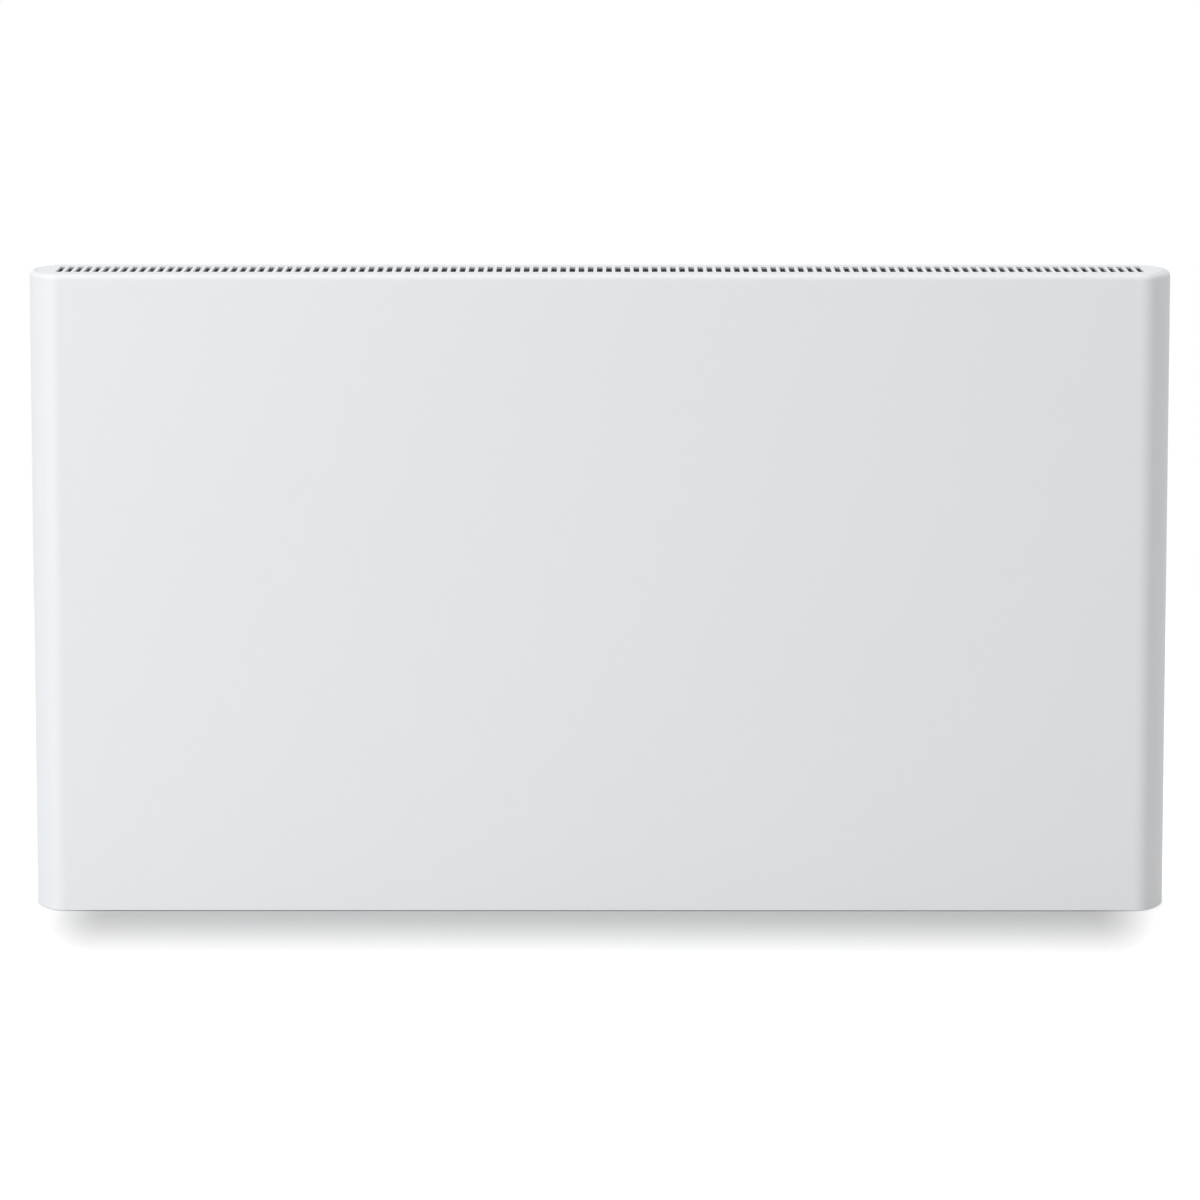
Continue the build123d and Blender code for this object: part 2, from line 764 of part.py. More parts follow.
def housing_cover():
    """The lid over the housing's inner side, with a wire hole."""
    z = (control_z - control_half, control_z + control_half)
    lid = block((housing_left - lid_thickness, housing_left), (-98, -27), z)
    lid -= rod((housing_left - 3, *wire_hole), (1, 0, 0), wire_hole_radius, 6)
    for y, z in cover_screw_places():
        lid -= rod((housing_left - 3, y, z), (1, 0, 0), 1.6, 6)
    return lid


def cover_screw_places():
    """The (y, z) of the lid's four screws."""
    return [(y, control_z + z) for y in (-94.0, -31.0) for z in (-44.0, 44.0)]


def housing_cover_screws():
    return [
        pan_screw((housing_left - lid_thickness, y, z), (-1, 0, 0), 1.4, 2.8, lid_thickness)
        for y, z in cover_screw_places()
    ]


def circuit_board():
    return block((board_x, board_x + board_sheet), (-95, -60), (control_z - 46, control_z + 46))


def board_part(y, z, depth, width, height):
    """A box-shaped component standing on the board."""
    face = board_x + board_sheet
    part = block((face, face + depth), (y - width / 2, y + width / 2), (z - height / 2, z + height / 2))
    return fillet(part.edges().filter_by(Axis.X), 0.8)


def relay():
    return board_part(-80, control_z - 28, 15, 16, 20)


def capacitor():
    can = rod((board_x + board_sheet, -84, control_z), (1, 0, 0), 6, 16)
    return fillet(can.edges().sort_by(Axis.X)[-1:], 0.6)


def heat_sink():
    face = board_x + board_sheet
    sink = block((face, face + 2), (-93, -67), (control_z + 14, control_z + 42))
    for i in range(6):
        y = -93 + i * 4.9
        sink += block((face, face + 16), (y, y + 1.5), (control_z + 14, control_z + 42))
    return sink


def terminal_block():
    """Three ways, each with a wire entry below and above and a screw in front."""
    body = block(terminal_x, (-46, panel_front_y), (terminal_z - 11, terminal_z + 11))
    for x in terminal_ways():
        body -= rod((x, -36, terminal_z - 12), (0, 0, 1), 2.2, 24)
        body -= rod((x, -47, terminal_z), (0, 1, 0), 2.6, 5)
    return body


def terminal_ways():
    return [terminal_x[0] + 5 + i * 10 for i in range(3)]


def terminal_screws():
    screws = []
    for x in terminal_ways():
        screw = rod((x, -45, terminal_z), (0, 1, 0), 2.3, 3)
        screws.append(screw - block((x - 3, x + 3), (-46, -44.2), (terminal_z - 0.4, terminal_z + 0.4)))
    return screws


def terminal_cover():
    """A moulded hood over the terminal block, open below for the supply and above for the wires."""
    x = (terminal_x[0] - 2.5, terminal_x[1] + 2.5)
    z = (terminal_z - 15, terminal_z + 15)
    hood = block(x, (-52, panel_front_y), z)
    return hood - block((x[0] + 1.5, x[1] - 1.5), (-50.5, panel_front_y + 1), (z[0] - 1, z[1] + 1))


def cable_gland():
    """The supply cable's entry through the right back panel."""
    start = (gland_x, -34, gland_z)
    gland = rod(start, (0, 1, 0), gland_body_radius, 12)
    gland += rod((gland_x, panel_rear_y, gland_z), (0, 1, 0), 13, 3)
    dome = rod((gland_x, panel_rear_y + 3, gland_z), (0, 1, 0), 11, 8)
    gland += fillet(dome.edges().sort_by(Axis.Y)[-1:], 4)
    for i in range(8):
        turn = Plane(origin=(gland_x, panel_rear_y + 3, gland_z), x_dir=(1, 0, 0), z_dir=(0, 1, 0))
        gland += turn * Rot(0, 0, i * 45) * Pos(11, 0, 2) * Box(1.2, 2.4, 4)
    return gland - rod((gland_x, -40, gland_z), (0, 1, 0), gland_bore, 40)


def gland_nut():
    plane = Plane(origin=(gland_x, panel_front_y - 5, gland_z), z_dir=(0, 1, 0))
    nut = extrude(plane * RegularPolygon(12.5, 6, major_radius=False), 5)
    return nut - rod((gland_x, -40, gland_z), (0, 1, 0), gland_body_radius + 0.05, 20)


def earth_stud():
    return rod((earth_x, panel_front_y, earth_z), (0, -1, 0), 2.5, 14) + rod(
        (earth_x, panel_front_y, earth_z), (0, -1, 0), 4.5, 1.5
    )


def earth_nut():
    """The nut, and the ring lug under it that takes the earth wire."""
    plane = Plane(origin=(earth_x, earth_lug_y - 4.1, earth_z), z_dir=(0, 1, 0))
    nut = extrude(plane * RegularPolygon(4, 6, major_radius=False), 4)
    lug = rod((earth_x, earth_lug_y, earth_z), (0, 1, 0), 5.5, 1)
    lug += block((earth_x - 2, earth_x + 2), (earth_lug_y, earth_lug_y + 1), (earth_z - 12, earth_z))
    bore = rod((earth_x, panel_front_y - 20, earth_z), (0, 1, 0), 2.55, 30)
    return [nut - bore, lug - bore]


def in_wire_hole(number):
    """The (y, z) of one of the wires where it goes through the lid, evenly round the hole."""
    way = Vector(3, 0).rotate(Axis.Z, number * 360 / wires_in_hole)
    return wire_hole[0] + way.X, wire_hole[1] + way.Y


def live_wire():
    x = terminal_ways()[0]
    y, z = in_wire_hole(1)
    points = [(x, -36, terminal_z + 2), (x, -37, -108), (x + 13, y, z), (wire_end_x, y, z)]
    return wire(points, wire_bend, wire_radius)


def neutral_wire():
    x = terminal_ways()[1]
    y, z = in_wire_hole(0)
    points = [(x, -36, terminal_z + 2), (x, -38, -112), (x + 8, y, z), (wire_end_x, y, z)]
    return wire(points, wire_bend, wire_radius)


def earth_wire():
    x = terminal_ways()[2]
    y = earth_lug_y + 0.5
    points = [(x, -36, terminal_z + 2), (x, -34, -116), (earth_x, y, -104), (earth_x, y, earth_z - 12)]
    return wire(points, wire_bend, wire_radius)


def sensor_wire():
    y, z = in_wire_hole(2)
    points = [(322, -70, -184), (322, -70, -140), (328, -68, -90), (337, y, z), (wire_end_x, y, z)]
    return wire(points, wire_bend, sensor_wire_radius)


def element_wire_left():
    """From the element's left end, behind the rear shield, to the lid."""
    start = sheath_start - terminal_length
    back_y, low_z = grommet_places[0]
    y, z = in_wire_hole(3)
    points = [
        (start, element_y, element_z),
        (start - 6, element_y, element_z),
        (start - 6, element_y + 6, low_z + 4),
        (start + 4, back_y, low_z),
        (duct_right + 6, back_y, low_z),
        (312, -58, -172),
        (311, -58, -130),
        (329, y, z),
        (wire_end_x, y, z),
    ]
    return wire(points, [2.5, 4, 4, 4, 4, 4, 4], wire_radius)


def element_wire_right():
    start = element_right + sheath_overhang + terminal_length
    y, z = in_wire_hole(4)
    points = [
        (start, element_y, element_z),
        (308, element_y, element_z),
        (328, -58, -118),
        (334, y, z),
        (wire_end_x, y, z),
    ]
    return wire(points, wire_bend, wire_radius)


def wire_grommets():
    """Rubber rings in the right end plate's wire holes."""
    rings = []
    for y, z in grommet_places:
        lip = ring((duct_right - 1.2, y, z), (1, 0, 0), 6, wire_radius + 0.2, end_plate_sheet + 2.4)
        groove = ring((duct_right, y, z), (1, 0, 0), 8, grommet_radius, end_plate_sheet)
        rings.append(lip - groove)
    return rings


pieces = {
    "bracket_rail_left": lambda: bracket_rail(-hook_x),
    "bracket_rail_right": lambda: bracket_rail(hook_x),
    "bracket_cross_bar": bracket_cross_bar,
    "bracket_pads": bracket_pads,
    "front_casing": front_casing,
    "top_grille": top_grille,
    "grille_clips": grille_clips,
    "bottom_guard": bottom_guard,
    "back_panel_left": back_panel_left,
    "back_panel_centre": back_panel_centre,
    "back_panel_right": back_panel_right,
    "hook_strip_left": lambda: hook_strip(-hook_x),
    "hook_strip_right": lambda: hook_strip(hook_x),
    "casing_screws": casing_screws,
    "end_plate_left": end_plate_left,
    "end_plate_right": end_plate_right,
    "front_heat_shield": front_heat_shield,
    "rear_heat_shield": rear_heat_shield,
    "element_fins": element_fins,
    "element_sheath": element_sheath,
    "element_core": element_core,
    "element_insulators": element_insulators,
    "element_terminals": element_terminals,
    "element_bushes": element_bushes,
    "element_bracket_left": lambda: element_bracket(0),
    "element_bracket_right": lambda: element_bracket(1),
    "thermal_cutout": thermal_cutout,
    "cutout_clip": cutout_clip,
    "sensor_probe": sensor_probe,
    "sensor_clip": sensor_clip,
    "control_housing": control_housing,
    "housing_cover": housing_cover,
    "housing_cover_screws": housing_cover_screws,
    "circuit_board": circuit_board,
    "relay": relay,
    "capacitor": capacitor,
    "heat_sink": heat_sink,
    "thermostat_body": thermostat_body,
    "thermostat_dial": thermostat_dial,
    "dial_shaft": dial_shaft,
    "rocker_switch": rocker_switch,
    "power_rocker": power_rocker,
    "indicator_lens": indicator_lens,
    "indicator_lamp": indicator_lamp,
    "terminal_block": terminal_block,
    "terminal_screws": terminal_screws,
    "terminal_cover": terminal_cover,
    "cable_gland": cable_gland,
    "gland_nut": gland_nut,
    "earth_stud": earth_stud,
    "earth_nut": earth_nut,
    "live_wire": live_wire,
    "neutral_wire": neutral_wire,
    "earth_wire": earth_wire,
    "element_wire_left": element_wire_left,
    "element_wire_right": element_wire_right,
    "sensor_wire": sensor_wire,
    "wire_grommets": wire_grommets,
}

os.makedirs("parts", exist_ok=True)
for name, make in pieces.items():
    save(name, make())
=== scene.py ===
import json
import math

import bmesh
import bpy
from bpy.props import FloatProperty, FloatVectorProperty, IntProperty, PointerProperty
from bpy.types import Operator, Panel, PropertyGroup
from mathutils import Matrix, Vector


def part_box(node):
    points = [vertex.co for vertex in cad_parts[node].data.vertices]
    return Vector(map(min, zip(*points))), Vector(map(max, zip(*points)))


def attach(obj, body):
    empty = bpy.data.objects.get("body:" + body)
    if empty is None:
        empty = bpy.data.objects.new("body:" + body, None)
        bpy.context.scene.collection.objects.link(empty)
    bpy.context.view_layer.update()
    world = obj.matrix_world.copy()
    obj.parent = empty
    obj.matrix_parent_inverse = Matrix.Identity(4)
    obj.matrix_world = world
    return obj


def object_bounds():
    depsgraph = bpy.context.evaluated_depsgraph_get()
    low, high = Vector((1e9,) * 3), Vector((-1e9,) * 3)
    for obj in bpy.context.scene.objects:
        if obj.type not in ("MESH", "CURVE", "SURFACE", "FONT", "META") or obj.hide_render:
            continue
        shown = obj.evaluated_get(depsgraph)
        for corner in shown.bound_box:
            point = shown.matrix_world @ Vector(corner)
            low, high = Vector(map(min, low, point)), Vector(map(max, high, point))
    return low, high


bl_info = {
    "name": "Wall Panel Convector Heater",
    "version": (1, 0, 0),
    "blender": (4, 5, 0),
    "location": "3D View > Sidebar > Heater",
    "description": "Finishes, printed marks, weld prints and the studio for a panel convector heater",
    "category": "Object",
}

# The frame is in metres: +Z is up, the front faces -Y, and the wall is the plane Y = 0.
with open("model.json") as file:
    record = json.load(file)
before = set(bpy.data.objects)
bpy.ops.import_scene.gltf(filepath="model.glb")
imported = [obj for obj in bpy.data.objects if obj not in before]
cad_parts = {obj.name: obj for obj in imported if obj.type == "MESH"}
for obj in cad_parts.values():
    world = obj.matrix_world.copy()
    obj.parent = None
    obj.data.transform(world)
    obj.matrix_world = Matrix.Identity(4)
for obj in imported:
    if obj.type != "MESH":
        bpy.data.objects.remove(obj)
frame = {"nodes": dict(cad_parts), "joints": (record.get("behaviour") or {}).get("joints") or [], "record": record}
nodes = frame["nodes"]
bpy.context.view_layer.update()
cad_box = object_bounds()
mm = 0.001


def joint_named(name):
    """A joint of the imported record."""
    return next(joint for joint in frame["joints"] if joint["name"] == name)


# The control face: its own right, up and outward directions come from the two joints on it
dial_joint = joint_named("dial_turn")
rocker_joint = joint_named("rocker_tip")
face_out = Vector(dial_joint["axis"]).normalized()
face_right = Vector(rocker_joint["axis"]).normalized()
face_up = Vector((0, 0, 1))
dial_centre = Vector(dial_joint["pos_m"])
rocker_pivot = Vector(rocker_joint["pos_m"])

# White paint in the dial's pointer groove
pointer_radius = 8.2 * mm  # from the dial's centre to the paint's middle
pointer_width = 1.5 * mm
pointer_length = 6.4 * mm
pointer_depth = 0.35 * mm  # from the dial's top to the paint's middle
pointer_thickness = 0.4 * mm
white_ink = (0.85, 0.86, 0.86)

# Spot welds down the back panels' seams and on the cross bar's end tabs
seam_inset = 5 * mm  # from a panel's edge to its row of welds
seam_welds = 11
panel_sheet = 1.0 * mm
bracket_sheet = 1.5 * mm
tab_inset = 12 * mm  # from the bar's end to its welds
tab_weld_z = 10 * mm

# The studio, in metres
floor_drop = 0.5 * mm
floor_half_width = 5.0
floor_front_y = -6.0
floor_rear_y = 1.4
painted_shadow_core = 0.05  # the painted shadow has no glow over it this far in front of and behind the heater's middle
key_place = (-2.4, -2.6, 0.6)
key_target = (0, -0.06, 0)
key_size = (1.4, 1.4)
top_place = (0, -0.3, 2.2)
top_target = (0, 0.0, 0.2)
top_size = (2.4, 1.2)


# ---------------------------------------------------------------- shader maths


class Value:
    """A node's output. Python's operators on it add Math nodes."""

    def __init__(self, graph, socket):
        self.graph = graph
        self.socket = socket

    def maths(self, operation, first, second=0.0):
        return self.graph.node("ShaderNodeMath", {"operation": operation}, {0: first, 1: second})

    def __add__(self, other):
        return self.maths("ADD", self, other)

    __radd__ = __add__

    def __sub__(self, other):
        return self.maths("SUBTRACT", self, other)

    def __rsub__(self, other):
        return self.maths("SUBTRACT", other, self)

    def __mul__(self, other):
        return self.maths("MULTIPLY", self, other)

    __rmul__ = __mul__

    def __truediv__(self, other):
        return self.maths("DIVIDE", self, other)

    def __pow__(self, other):
        return self.maths("POWER", self, other)

    def __abs__(self):
        return self.maths("ABSOLUTE", self)

    def most(self, other):
        return self.maths("MAXIMUM", self, other)

    def rise(self, low, high):
        """A smooth step: 0 up to low, 1 from high. With low over high it falls instead."""
        settings = {"interpolation_type": "SMOOTHSTEP"}
        if low < high:
            return self.graph.node("ShaderNodeMapRange", settings, {0: self, 1: low, 2: high})
        return self.graph.node("ShaderNodeMapRange", settings, {0: self, 1: high, 2: low, 3: 1.0, 4: 0.0})

    def wave(self, length):
        """A sine from 0 to 1 that repeats every length."""
        return self.maths("SINE", self * (2 * math.pi / length)) * 0.5 + 0.5


class Graph:
    """A node tree, and the one method that adds nodes to it."""

    def __init__(self, tree):
        self.tree = tree

    def node(self, kind, settings=None, inputs=None, output=0):
        """Adds a node, sets what it is, then sets or links its sockets, and returns one output."""
        made = self.tree.nodes.new(kind)
        for name, value in (settings or {}).items():
            setattr(made, name, value)
        for name, value in (inputs or {}).items():
            self.feed(made.inputs[name], value)
        return Value(self, made.outputs[output])

    def feed(self, socket, value):
        """Links a Value to a socket, or sets the socket's own number or colour."""
        if isinstance(value, Value):
            self.tree.links.new(value.socket, socket)
        else:
            socket.default_value = value

    def mix(self, factor, first, second):
        """A colour between two colours."""
        settings = {"data_type": "RGBA"}
        inputs = {0: factor, 6: colour4(first), 7: colour4(second)}
        return self.node("ShaderNodeMix", settings, inputs, output=2)


def colour4(colour):
    """A colour as a socket takes it. A Value stays as it is."""
    return colour if isinstance(colour, Value) else (*tuple(colour)[:3], 1.0)


class Finish(Graph):
    """A material with one Principled shader. Its patterns are measured in metres on the object."""

    def __init__(self, name, colour, roughness, metallic=0.0, **constants):
        self.material = bpy.data.materials.new(name)
        self.material.use_nodes = True
        super().__init__(self.material.node_tree)
        self.colour = tuple(colour)[:3]
        self.shader = self.tree.nodes["Principled BSDF"].inputs
        self.set(base_color=colour4(colour), roughness=roughness, metallic=metallic, **constants)
        self.material.diffuse_color = colour4(colour)
        self.place = self.node("ShaderNodeTexCoord", output="Object")
        split = self.node("ShaderNodeSeparateXYZ", None, {0: self.place})
        axes = split.socket.node.outputs
        self.x, self.y, self.z = (Value(self, axes[i]) for i in range(3))

    def set(self, **inputs):
        """Feeds shader sockets, named in lower case with underscores."""
        for name, value in inputs.items():
            title = name.replace("_", " ").title().replace("Ior", "IOR")
            self.feed(self.shader[title], value)

    def stretched(self, along):
        """The place, with the pattern drawn out by these factors along X, Y and Z."""
        scale = tuple(1 / factor for factor in along)
        return self.node("ShaderNodeMapping", None, {"Vector": self.place, "Scale": scale})

    def noise(self, size, detail=2.0, roughness=0.5, along=None, distortion=0.0):
        """Soft noise from about 0 to 1, whose largest shapes are about this size."""
        place = self.stretched(along) if along else self.place
        inputs = {
            "Vector": place,
            "Scale": 1 / size,
            "Detail": detail,
            "Roughness": roughness,
            "Distortion": distortion,
        }
        return self.node("ShaderNodeTexNoise", None, inputs)

    def cells(self, size, output="Distance", feature="F1", along=None, smooth=None):
        """A cell pattern: distance to the nearest seed, or one random colour for each cell."""
        inputs = {"Vector": self.stretched(along) if along else self.place, "Scale": 1 / size}
        if smooth is not None:
            inputs["Smoothness"] = smooth
        return self.node("ShaderNodeTexVoronoi", {"feature": feature}, inputs, output=output)

    def grey(self, colour):
        """One number from a colour."""
        return self.node("ShaderNodeSeparateColor", None, {0: colour})

    def relief(self, height, depth):
        """Feeds Normal from a height from 0 to 1, with its depth in metres."""
        inputs = {"Height": height, "Distance": depth, "Strength": 1.0}
        self.set(normal=self.node("ShaderNodeBump", None, inputs))

    def shaded(self, share):
        """The finish's own colour, a share lighter or darker."""
        return tuple(max(0.0, min(1.0, channel * (1 + share))) for channel in self.colour)

    def vary(self, mask, darker, lighter):
        """Feeds Base Color between two shades of the finish's colour."""
        self.set(base_color=self.mix(mask, self.shaded(darker), self.shaded(lighter)))


# ---------------------------------------------------------------- finishes


def record_colour(slot):
    """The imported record's colour for a material slot."""
    materials = frame["record"]["materials"]
    return tuple(next(material for material in materials if material["slot"] == slot)["base_color"][:3])


def finish_colours():
    return bpy.context.scene.heater_colours


def finish_sizes():
    return bpy.context.scene.heater_sizes


def powder_coat():
    """Satin white powder coat: an orange peel of soft waves with finer grains on them."""
    sizes = finish_sizes()
    finish = Finish("powder_coat", finish_colours().coat, 0.5, specular_ior_level=0.35)
    peel = finish.noise(sizes.orange_peel, detail=1.0)
    grain = finish.noise(sizes.orange_peel / 5, detail=2.0)
    cloud = finish.noise(0.22, detail=2.0)
    finish.vary(cloud * 0.7 + grain * 0.3, -0.012, 0.012)
    finish.set(roughness=0.44 + 0.12 * peel + 0.05 * cloud)
    finish.relief(peel * 0.75 + grain * 0.25, sizes.peel_depth)
    return finish.material


def galvanised_sheet():
    """Hot-dip zinc: spangle cells that differ a little in shade and gloss, over a faint rolled grain."""
    finish = Finish("galvanised_sheet", finish_colours().galvanised, 0.4, 1.0)
    warp = finish.noise(0.004, detail=3.0)
    flake = finish.grey(finish.cells(finish_sizes().spangle, output="Color"))
    feather = finish.grey(finish.cells(finish_sizes().spangle / 3, output="Color"))
    shade = flake * 0.55 + feather * 0.2 + warp * 0.25
    finish.vary(shade, -0.38, 0.0)
    finish.set(roughness=0.3 + 0.22 * shade)
    finish.relief(warp, 0.00002)
    return finish.material


def zinc_plate():
    """Electroplated zinc with a clear passivation: cool and warm clouds over fine rolling lines."""
    finish = Finish("zinc_plate", record_colour("zinc_steel"), 0.34, 1.0)
    cloud = finish.noise(0.06, detail=3.0, distortion=0.6)
    lines = finish.noise(0.0007, detail=2.0, along=(1, 1, 40))
    cool = finish.mix(lines, (0.50, 0.54, 0.60), (0.60, 0.64, 0.69))
    warm = finish.mix(lines, (0.58, 0.57, 0.52), (0.68, 0.67, 0.62))
    finish.set(base_color=finish.mix(cloud.rise(0.35, 0.68), cool, warm))
    finish.set(roughness=0.26 + 0.14 * cloud + 0.08 * lines)
    finish.relief(lines, 0.000006)
    return finish.material


def spring_steel():
    """Hardened strip, blued by its heat treatment."""
    finish = Finish("spring_steel", record_colour("spring_steel"), 0.35, 1.0)
    tint = finish.noise(0.012, detail=2.0)
    lines = finish.noise(0.0005, along=(30, 1, 1))
    finish.set(base_color=finish.mix(tint, (0.30, 0.32, 0.38), (0.46, 0.43, 0.38)))
    finish.set(roughness=0.28 + 0.14 * lines)
    finish.relief(lines, 0.000005)
    return finish.material


def bright_zinc():
    """Bright plated screws with small handling scuffs."""
    finish = Finish("bright_zinc", record_colour("zinc_screw"), 0.22, 1.0)
    scuff = finish.noise(0.0009, detail=4.0, roughness=0.7)
    film = finish.noise(0.004, detail=2.0)
    finish.set(base_color=finish.mix(film, (0.60, 0.63, 0.68), (0.74, 0.73, 0.70)))
    finish.set(roughness=0.16 + 0.2 * scuff)
    finish.relief(scuff, 0.000012)
    return finish.material


def aluminised_sheet():
    """Matt aluminised steel: a frosty fine grain with slow clouds."""
    finish = Finish("aluminised_sheet", record_colour("aluminised_steel"), 0.5, 1.0)
    frost = finish.noise(0.0012, detail=4.0, roughness=0.65)
    cloud = finish.noise(0.05, detail=2.0)
    finish.vary(frost * 0.6 + cloud * 0.4, -0.14, 0.06)
    finish.set(roughness=0.42 + 0.16 * frost)
    finish.relief(frost, 0.00001)
    return finish.material


def mill_aluminium():
    """Extruded aluminium: die lines along the extrusion."""
    finish = Finish("mill_aluminium", record_colour("aluminium"), 0.34, 1.0)
    lines = finish.noise(0.0006, detail=3.0, along=(80, 1, 1))
    cloud = finish.noise(0.03, detail=2.0)
    finish.vary(lines * 0.6 + cloud * 0.4, -0.15, 0.06)
    finish.set(roughness=0.26 + 0.16 * lines)
    finish.relief(lines, 0.00001)
    return finish.material


def drawn_stainless():
    """Drawn stainless tube, with a straw heat tint in places."""
    finish = Finish("drawn_stainless", record_colour("stainless_tube"), 0.3, 1.0)
    lines = finish.noise(0.0004, detail=2.0, along=(60, 1, 1))
    heat = finish.noise(0.05, detail=2.0).rise(0.45, 0.7)
    tinted = finish.mix(heat, finish.shaded(0.0), (0.58, 0.50, 0.38))
    finish.set(base_color=finish.mix(lines * 0.3, tinted, (0.42, 0.41, 0.40)))
    finish.set(roughness=0.22 + 0.16 * lines)
    finish.relief(lines, 0.000006)
    return finish.material


def glazed_ceramic():
    """White glazed ceramic with a few iron specks."""
    finish = Finish("glazed_ceramic", record_colour("ceramic"), 0.25, coat_weight=0.6, coat_roughness=0.08)
    speck = finish.cells(0.0016).rise(0.16, 0.08)
    cloud = finish.noise(0.003, detail=2.0)
    ground = finish.mix(cloud, finish.shaded(-0.05), finish.shaded(0.02))
    finish.set(base_color=finish.mix(speck * 0.6, ground, (0.35, 0.24, 0.15)))
    finish.set(roughness=0.2 + 0.12 * cloud)
    finish.relief(cloud, 0.00003)
    return finish.material


def moulded(name, colour, roughness, grain_size, grain_depth, contrast=0.06, **constants):
    """A moulded part: an etched grain in its surface and a slow drift of its shade."""
    finish = Finish(name, colour, roughness, **constants)
    grain = finish.cells(grain_size, feature="SMOOTH_F1", smooth=0.6)
    drift = finish.noise(0.015, detail=2.0)
    finish.vary(grain * 0.5 + drift * 0.5, -contrast, contrast)
    finish.set(roughness=roughness - 0.05 + 0.1 * grain + 0.05 * drift)
    finish.relief(grain, grain_depth)
    return finish


def silicone_rubber():
    return moulded("silicone_rubber", record_colour("silicone"), 0.5, 0.0009, 0.00002).material


def black_rubber():
    """Black rubber with a pale bloom."""
    finish = moulded("black_rubber", record_colour("black_rubber"), 0.7, 0.0007, 0.00004)
    bloom = finish.noise(0.006, detail=4.0, roughness=0.6).rise(0.45, 0.8)
    finish.set(base_color=finish.mix(bloom * 0.35, finish.shaded(0.0), (0.12, 0.12, 0.12)))
    return finish.material


def black_nylon():
    return moulded("black_nylon", record_colour("black_plastic"), 0.5, 0.0005, 0.00003, 0.2).material


def white_moulding():
    return moulded("white_moulding", finish_colours().moulding, 0.5, 0.0005, 0.00002, 0.015).material


def dial_moulding():
    return moulded("dial_moulding", finish_colours().dial, 0.42, 0.0004, 0.000015, 0.05).material


def rocker_gloss():
    """Polished black plastic with hairline scratches where fingers rub."""
    finish = Finish("rocker_gloss", record_colour("rocker_plastic"), 0.16)
    hair = finish.noise(0.0003, detail=3.0, along=(1, 1, 14), distortion=0.4).rise(0.62, 0.72)
    smudge = finish.noise(0.004, detail=3.0)
    finish.vary(smudge, -0.2, 0.35)
    finish.set(roughness=0.12 + 0.2 * smudge.rise(0.45, 0.8) + 0.2 * hair)
    finish.relief(1 - hair, 0.000004)
    return finish.material


def amber_glaze():
    """Translucent amber plastic, pressed with small prisms."""
    finish = Finish("amber_glaze", finish_colours().amber, 0.2, ior=1.49, transmission_weight=0.55)
    prism = finish.cells(0.0007)
    finish.vary(prism, -0.12, 0.2)
    finish.set(roughness=0.16 + 0.12 * prism)
    finish.relief(prism, 0.00012)
    return finish.material


def milky_nylon():
    """Natural nylon: milky, and a little see-through where it is thin."""
    finish = Finish("milky_nylon", record_colour("clear_hood"), 0.42, ior=1.53, transmission_weight=0.35)
    flow = finish.noise(0.006, detail=3.0, along=(1, 1, 4), distortion=0.8)
    finish.vary(flow, -0.06, 0.05)
    finish.set(roughness=0.34 + 0.14 * flow)
    finish.relief(flow, 0.00003)
    return finish.material


def circuit_laminate():
    """Green solder mask over copper tracks, with tinned pads."""
    colour = record_colour("board_green")
    finish = Finish("circuit_laminate", colour, 0.3, coat_weight=0.4, coat_roughness=0.15)
    edge = finish.cells(0.006, feature="DISTANCE_TO_EDGE", along=(1, 1, 2.2))
    track = edge.rise(0.13, 0.09)
    pad = finish.cells(0.0042).rise(0.2, 0.15)
    weave = finish.y.wave(0.0006) * finish.z.wave(0.0006)
    mask = finish.mix(track, finish.shaded(-0.3), (0.10, 0.36, 0.16))
    finish.set(base_color=finish.mix(pad, mask, (0.72, 0.72, 0.70)), metallic=pad)
    finish.set(roughness=0.34 - 0.1 * pad + 0.06 * weave)
    finish.relief(track * 0.5 + pad * 0.4 + weave * 0.1, 0.00005)
    return finish.material


def relay_case():
    return moulded("relay_case", record_colour("relay_blue"), 0.3, 0.0006, 0.00001, 0.1).material


def turned_brass():
    """Machined brass, slightly dulled."""
    finish = Finish("turned_brass", record_colour("brass"), 0.28, 1.0)
    lines = finish.y.wave(0.00035)
    dull = finish.noise(0.003, detail=4.0, roughness=0.6)
    finish.set(base_color=finish.mix(dull.rise(0.35, 0.75), finish.shaded(0.04), (0.50, 0.34, 0.16)))
    finish.set(roughness=0.2 + 0.2 * dull)
    finish.relief(lines * 0.5 + dull * 0.5, 0.00001)
    return finish.material


def wire_insulation(name, slot):
    """Smooth extruded insulation with a faint bloom."""
    finish = Finish(name, record_colour(slot), 0.4)
    bloom = finish.noise(0.003, detail=3.0)
    finish.vary(bloom, -0.1, 0.12)
    finish.set(roughness=0.34 + 0.14 * bloom)
    finish.relief(finish.noise(0.0005), 0.00001)
    return finish


def brown_insulation():
    return wire_insulation("brown_insulation", "wire_brown").material


def blue_insulation():
    return wire_insulation("blue_insulation", "wire_blue").material


def striped_insulation():
    """Green insulation with a yellow stripe down each side."""
    finish = wire_insulation("striped_insulation", "wire_green_yellow")
    normal = finish.node("ShaderNodeTexCoord", output="Normal")
    side = finish.node("ShaderNodeSeparateXYZ", None, {0: normal})
    stripe = abs(side).rise(0.55, 0.6)
    finish.set(base_color=finish.mix(stripe, (0.06, 0.30, 0.06), (0.80, 0.68, 0.05)))
    return finish.material


def glass_sleeve():
    """A braided glass-fibre sleeve: two sets of yarns that cross."""
    finish = Finish("glass_sleeve", record_colour("wire_white"), 0.6)
    lay = (finish.x + finish.y + finish.z).wave(0.0012)
    counter = (finish.x - finish.y - finish.z).wave(0.0012)
    braid = lay.most(counter)
    finish.vary(braid, -0.3, 0.05)
    finish.set(roughness=0.7 - 0.15 * braid)
    finish.relief(braid, 0.00015)
    return finish.material


